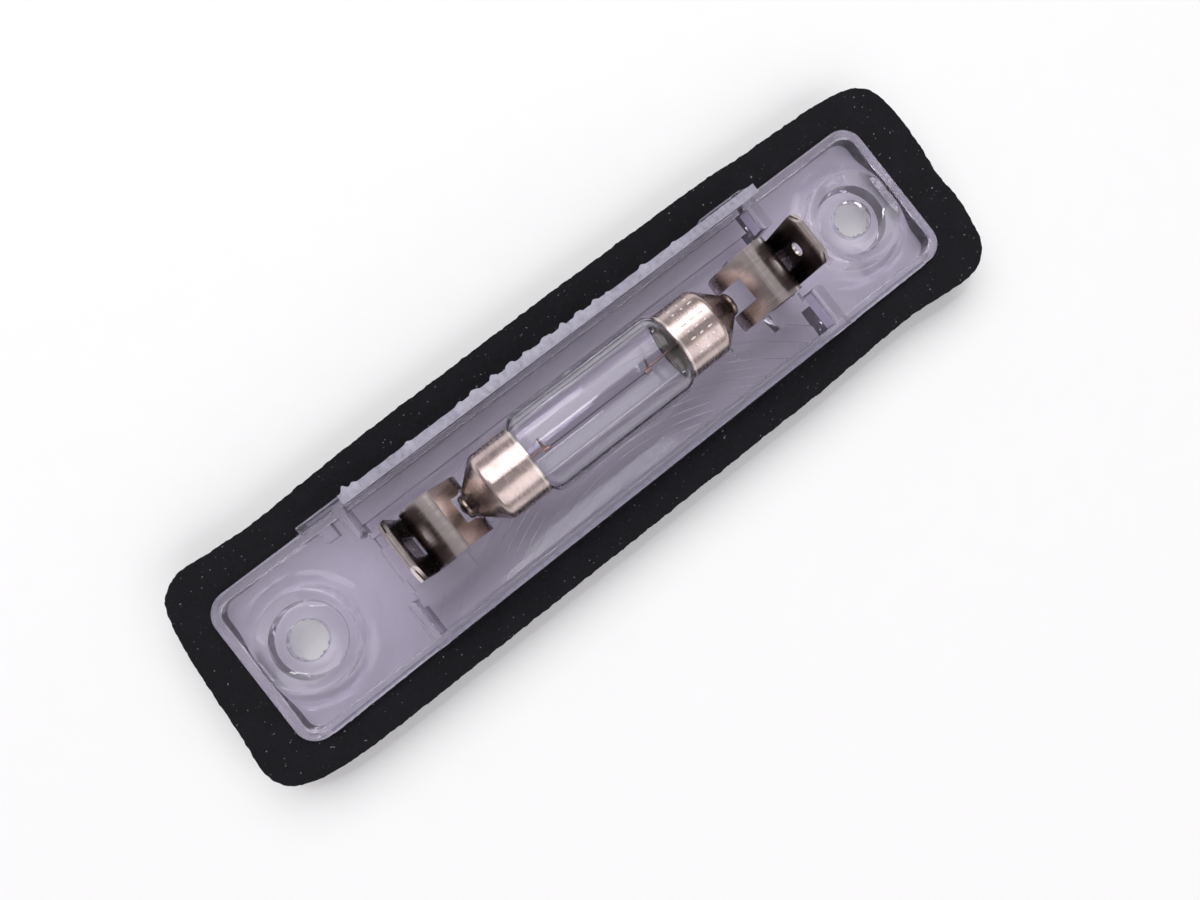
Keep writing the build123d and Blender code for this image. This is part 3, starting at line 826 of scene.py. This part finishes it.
class PLATELAMP_OT_bulb(bpy.types.Operator):
    """Finish the bulb's glass, caps, wires, cement and solder"""
    bl_idname = "plate_lamp.bulb"
    bl_label = "Bulb"

    def execute(self, context):
        settings = context.scene.plate_lamp_bulb
        caps = cap_metal(settings)
        wires = wire_metal("lead_wire", tuple(settings.wire_colour), 0.3)
        solder = wire_metal("solder", SOLDER_AND_SHADE_COLOUR, 0.4)
        grit = cement()
        paint("bulb_glass", drawn_glass())
        for side in SIDES:
            paint(f"bulb_cap_{side}", caps)
            paint(f"lead_wire_{side}", wires)
            paint(f"solder_tip_{side}", solder)
            paint(f"cement_{side}", grit)
        return {"FINISHED"}


class PLATELAMP_OT_coil(bpy.types.Operator):
    """Wind the filament"""
    bl_idname = "plate_lamp.coil"
    bl_label = "Filament Coil"

    def execute(self, context):
        settings = context.scene.plate_lamp_bulb
        low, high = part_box("filament")
        growth = Growth("filament_coil")
        turns = growth.input("Turns", float(settings.coil_turns))
        wire = growth.input("Wire Diameter", settings.coil_wire)
        outside = growth.input("Coil Diameter", high.z - low.z)
        run = growth.input("Coil Length", high.x - low.x)
        radius = growth.sum("MULTIPLY", growth.sum("SUBTRACT", outside, wire), 0.5)
        spiral = growth.add("GeometryNodeCurveSpiral", {
            "Resolution": COIL_STEPS, "Rotations": turns, "Height": run,
            "Start Radius": radius, "End Radius": radius,
        })
        section = growth.add("GeometryNodeCurvePrimitiveCircle", {
            "Resolution": WIRE_SIDES, "Radius": growth.sum("MULTIPLY", wire, 0.5),
        })
        coil = growth.add("GeometryNodeCurveToMesh", {
            "Curve": spiral, "Profile Curve": section, "Fill Caps": True,
        })
        laid = growth.add("GeometryNodeTransform", {
            "Geometry": coil, "Rotation": (0.0, math.pi / 2, 0.0),
            "Translation": Vector((low.x, (low.y + high.y) / 2, (low.z + high.z) / 2)),
        })
        material = wire_metal("tungsten", TUNGSTEN_COLOUR, 0.35)
        new_piece("filament_coil", growth.mesh(laid, material), material, ["filament"])
        return {"FINISHED"}


def rolled_rim(side, width):
    """The rolled rim around the mouth of a cap."""
    low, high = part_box(f"bulb_cap_{side}")
    mouth, inwards = (high.x, -1.0) if side == "left" else (low.x, 1.0)
    middle_y, middle_z = (low.y + high.y) / 2, (low.z + high.z) / 2
    wall = (high.z - low.z) / 2
    shape = bmesh.new()
    rings = []
    for step in range(RIM_SIDES):
        angle = math.tau * step / RIM_SIDES
        x = mouth + inwards * width / 2 * (1 + math.cos(angle))
        lift = math.sin(angle)
        radius = wall - RIM_SINK + RIM_SWELL * lift * (1.0 if lift > 0 else RIM_INSIDE_SHARE)
        ring = []
        for turn in range(RIM_STEPS):
            around = math.tau * turn / RIM_STEPS
            ring.append(shape.verts.new((
                x, middle_y + radius * math.sin(around), middle_z + radius * math.cos(around),
            )))
        rings.append(ring)
    skin_over(shape, rings)
    return mesh_from(shape, f"cap_rim_{side}")


class PLATELAMP_OT_caps(bpy.types.Operator):
    """Roll the rims of the caps and raise rows of ticks on the right one"""
    bl_idname = "plate_lamp.caps"
    bl_label = "Cap Rims and Ticks"

    def execute(self, context):
        settings = context.scene.plate_lamp_bulb
        material = bpy.data.materials["cap_metal"]
        for side in SIDES:
            new_piece(f"cap_rim_{side}", rolled_rim(side, settings.rim_width), material)
        low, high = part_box("bulb_cap_right")
        growth = Growth("cap_ticks")
        rows = growth.input("Rows", settings.tick_rows)
        ticks = growth.input("Ticks", settings.ticks)
        wall = growth.input("Cap Radius", (high.z - low.z) / 2)
        seed = growth.input("Seed", TICK_SEED)
        span = growth.sum("MULTIPLY", growth.sum("SUBTRACT", rows, 1.0), TICK_ROW_PITCH)
        grid = growth.add("GeometryNodeMeshGrid", {
            "Size X": span, "Size Y": TICK_SPREAD, "Vertices X": rows, "Vertices Y": ticks,
        })
        place = growth.add("GeometryNodeInputPosition", {})
        along, around = (
            growth.add("ShaderNodeSeparateXYZ", {"Vector": place}, output=axis) for axis in ("X", "Y")
        )
        angle = growth.sum("ADD", around, TICK_TURN)
        middle_x = low.x + settings.rim_width + (CONE_START - CAP_MOUTH - settings.rim_width) / 2
        turned = growth.add("GeometryNodeStoreNamedAttribute", {
            "Geometry": grid, "Name": "around", "Value": angle,
        }, data_type="FLOAT", domain="POINT")
        raised = growth.add("GeometryNodeSetPosition", {"Geometry": turned, "Position": growth.vector(
            growth.sum("ADD", along, middle_x),
            growth.sum("MULTIPLY_ADD", growth.sum("SINE", angle), wall, (low.y + high.y) / 2),
            growth.sum("MULTIPLY_ADD", growth.sum("COSINE", angle), wall, (low.z + high.z) / 2),
        )})
        kept_angle = growth.add("GeometryNodeInputNamedAttribute", {"Name": "around"}, data_type="FLOAT")
        shares = growth.add("FunctionNodeRandomValue", {
            2: TICK_SHARES[0], 3: TICK_SHARES[1], "Seed": seed,
        }, output=1, data_type="FLOAT")
        bump = growth.add("GeometryNodeMeshIcoSphere", {"Radius": 1.0, "Subdivisions": 2})
        dots = growth.add("GeometryNodeInstanceOnPoints", {
            "Points": raised, "Instance": bump,
            "Rotation": growth.vector(growth.sum("MULTIPLY", kept_angle, -1.0), 0.0, 0.0),
            "Scale": growth.vector(growth.sum("MULTIPLY", shares, TICK_SIZE[0]), TICK_SIZE[1], TICK_SIZE[2]),
        })
        new_piece("cap_ticks", growth.mesh(dots, material), material)
        return {"FINISHED"}


# stage

CAMERA_PLACE = Vector((-13.786, -4.241, 100.251)) * MM
CAMERA_TURNS = ((0.029, "Z"), (-0.082, "X"), (0.094, "Y"), (math.radians(36.58), "Z"))
CAMERA_FOCUS = 844.705
PICTURE_WIDTH = 1200
SENSOR = 36.0

# panels of light that face the lamp: name, place, width and depth, and the setting of the power
LIGHT_PANELS = (
    ("large_panel", (0.06, 0.36, 0.46), (0.95, 0.42), "soft_light"),
    ("narrow_panel", (0.0, 0.13, 0.42), (0.14, 0.02), "narrow_light"),
    ("fill_panel", (0.0, -0.42, 0.36), (0.95, 0.42), "fill_light"),
)
ROOM_LIGHT = (0.40, 0.385, 0.40, 1.0)
WHITE = (1.0, 1.0, 1.0, 1.0)
FLOOR_HALF, FLOOR_DROP = 5.0, 0.3 * MM
# the floor's glow grows to plain white between these distances from the lamp
GLOW_START, GLOW_END = 0.08, 0.3


def white_floor(settings):
    """A pale floor that looks white to the eye and in reflections, and still takes a soft shadow."""
    finish = Finish("floor")
    grain = finish.noise(4 * MM, 2.0)
    base = tuple(settings.floor_colour)
    finish.set(Base_Color=finish.mixed(grain, base, shaded(base, 0.98)), Roughness=0.9)
    path = finish.add("ShaderNodeLightPath")
    seen = path.outputs["Is Camera Ray"]
    for name in ("Is Glossy Ray", "Is Transmission Ray"):
        seen = finish.worked("MAXIMUM", seen, path.outputs[name])
    away = finish.add("ShaderNodeVectorMath", operation="LENGTH")
    finish.links.new(finish.place, away.inputs[0])
    growing = finish.ranged(away.outputs["Value"], GLOW_START, GLOW_END, settings.floor_glow, 1.0)
    share = finish.worked("MULTIPLY", seen, growing)
    glow = finish.add("ShaderNodeEmission")
    mix = finish.add("ShaderNodeMixShader")
    finish.links.new(share, mix.inputs["Fac"])
    finish.links.new(finish.surface.outputs["BSDF"], mix.inputs[1])
    finish.links.new(glow.outputs["Emission"], mix.inputs[2])
    finish.links.new(mix.outputs["Shader"], finish.nodes["Material Output"].inputs["Surface"])
    return finish.material


def soft_world():
    """A soft even light from all around, white where it is seen."""
    world = bpy.data.worlds.new("soft_room")
    bpy.context.scene.world = world
    world.use_nodes = True
    nodes, links = world.node_tree.nodes, world.node_tree.links
    seen = nodes.new("ShaderNodeLightPath").outputs["Is Camera Ray"]
    mix = nodes.new("ShaderNodeMix")
    mix.data_type = "RGBA"
    mix.inputs[6].default_value = ROOM_LIGHT
    mix.inputs[7].default_value = WHITE
    links.new(seen, mix.inputs["Factor"])
    links.new(mix.outputs[2], nodes["Background"].inputs["Color"])


def soft_panel(name, place, size, power):
    """A panel of light that faces the middle of the lamp."""
    light = bpy.data.lights.new(name, "AREA")
    light.shape = "RECTANGLE"
    light.size, light.size_y = size
    light.energy = power
    lamp = bpy.data.objects.new(name, light)
    lamp.location = place
    lamp.rotation_euler = Vector(place).to_track_quat("Z", "Y").to_euler()
    bpy.context.scene.collection.objects.link(lamp)


class PLATELAMP_OT_stage(bpy.types.Operator):
    """Set the floor, the light and the camera"""
    bl_idname = "plate_lamp.stage"
    bl_label = "Stage"

    def execute(self, context):
        settings = context.scene.plate_lamp_stage
        shape = bmesh.new()
        bmesh.ops.create_grid(shape, x_segments=1, y_segments=1, size=FLOOR_HALF)
        bmesh.ops.translate(shape, verts=shape.verts, vec=(0.0, 0.0, -FLOOR_DROP))
        mesh = bpy.data.meshes.new("floor")
        shape.to_mesh(mesh)
        shape.free()
        mesh.materials.append(white_floor(settings))
        floor = bpy.data.objects.new("floor", mesh)
        context.scene.collection.objects.link(floor)
        soft_world()
        for name, place, size, power in LIGHT_PANELS:
            soft_panel(name, place, size, getattr(settings, power))
        camera = bpy.data.objects.new("camera", bpy.data.cameras.new("camera"))
        turn = Matrix.Identity(3)
        for angle, axis in CAMERA_TURNS:
            turn = turn @ Matrix.Rotation(angle, 3, axis)
        camera.matrix_world = Matrix.Translation(CAMERA_PLACE) @ turn.transposed().to_4x4()
        camera.data.sensor_fit = "HORIZONTAL"
        camera.data.sensor_width = SENSOR
        camera.data.lens = CAMERA_FOCUS * SENSOR / PICTURE_WIDTH
        camera.data.clip_start = MM
        context.scene.collection.objects.link(camera)
        context.scene.camera = camera
        context.scene.view_settings.view_transform = "Standard"
        return {"FINISHED"}


# panel and start

class PLATELAMP_PT_panel(bpy.types.Panel):
    """Lists the lamp's pieces"""
    bl_idname = "PLATELAMP_PT_panel"
    bl_label = "Number Plate Lamp"
    bl_space_type = "VIEW_3D"
    bl_region_type = "UI"
    bl_category = "Plate Lamp"

    def draw(self, context):
        for settings, operators in PANEL_ROWS:
            group = getattr(context.scene, settings)
            box = self.layout.box()
            for name in group.__annotations__:
                box.prop(group, name)
            for operator in operators:
                box.operator(operator)


SETTINGS = {
    "plate_lamp_lens": LensSettings,
    "plate_lamp_gasket": GasketSettings,
    "plate_lamp_bulb": BulbSettings,
    "plate_lamp_contacts": ContactSettings,
    "plate_lamp_stage": StageSettings,
}
OPERATORS = (
    PLATELAMP_OT_gasket, PLATELAMP_OT_lens, PLATELAMP_OT_flash, PLATELAMP_OT_optic, PLATELAMP_OT_contacts,
    PLATELAMP_OT_bulb, PLATELAMP_OT_coil, PLATELAMP_OT_caps, PLATELAMP_OT_stage,
)
PANEL_ROWS = (
    ("plate_lamp_lens", ("plate_lamp.lens", "plate_lamp.flash", "plate_lamp.optic")),
    ("plate_lamp_gasket", ("plate_lamp.gasket",)),
    ("plate_lamp_bulb", ("plate_lamp.bulb", "plate_lamp.coil", "plate_lamp.caps")),
    ("plate_lamp_contacts", ("plate_lamp.contacts",)),
    ("plate_lamp_stage", ("plate_lamp.stage",)),
)


def register():
    for group in SETTINGS.values():
        bpy.utils.register_class(group)
    for name, group in SETTINGS.items():
        setattr(bpy.types.Scene, name, PointerProperty(type=group))
    for item in (*OPERATORS, PLATELAMP_PT_panel):
        bpy.utils.register_class(item)


def unregister():
    for item in (PLATELAMP_PT_panel, *reversed(OPERATORS)):
        bpy.utils.unregister_class(item)
    for name, group in SETTINGS.items():
        delattr(bpy.types.Scene, name)
        bpy.utils.unregister_class(group)


def main():
    register()
    bpy.ops.plate_lamp.gasket()
    bpy.ops.plate_lamp.lens()
    bpy.ops.plate_lamp.flash()
    bpy.ops.plate_lamp.optic()
    bpy.ops.plate_lamp.contacts()
    bpy.ops.plate_lamp.bulb()
    bpy.ops.plate_lamp.coil()
    bpy.ops.plate_lamp.caps()
    bpy.ops.plate_lamp.stage()


if __name__ == "__main__":
    main()
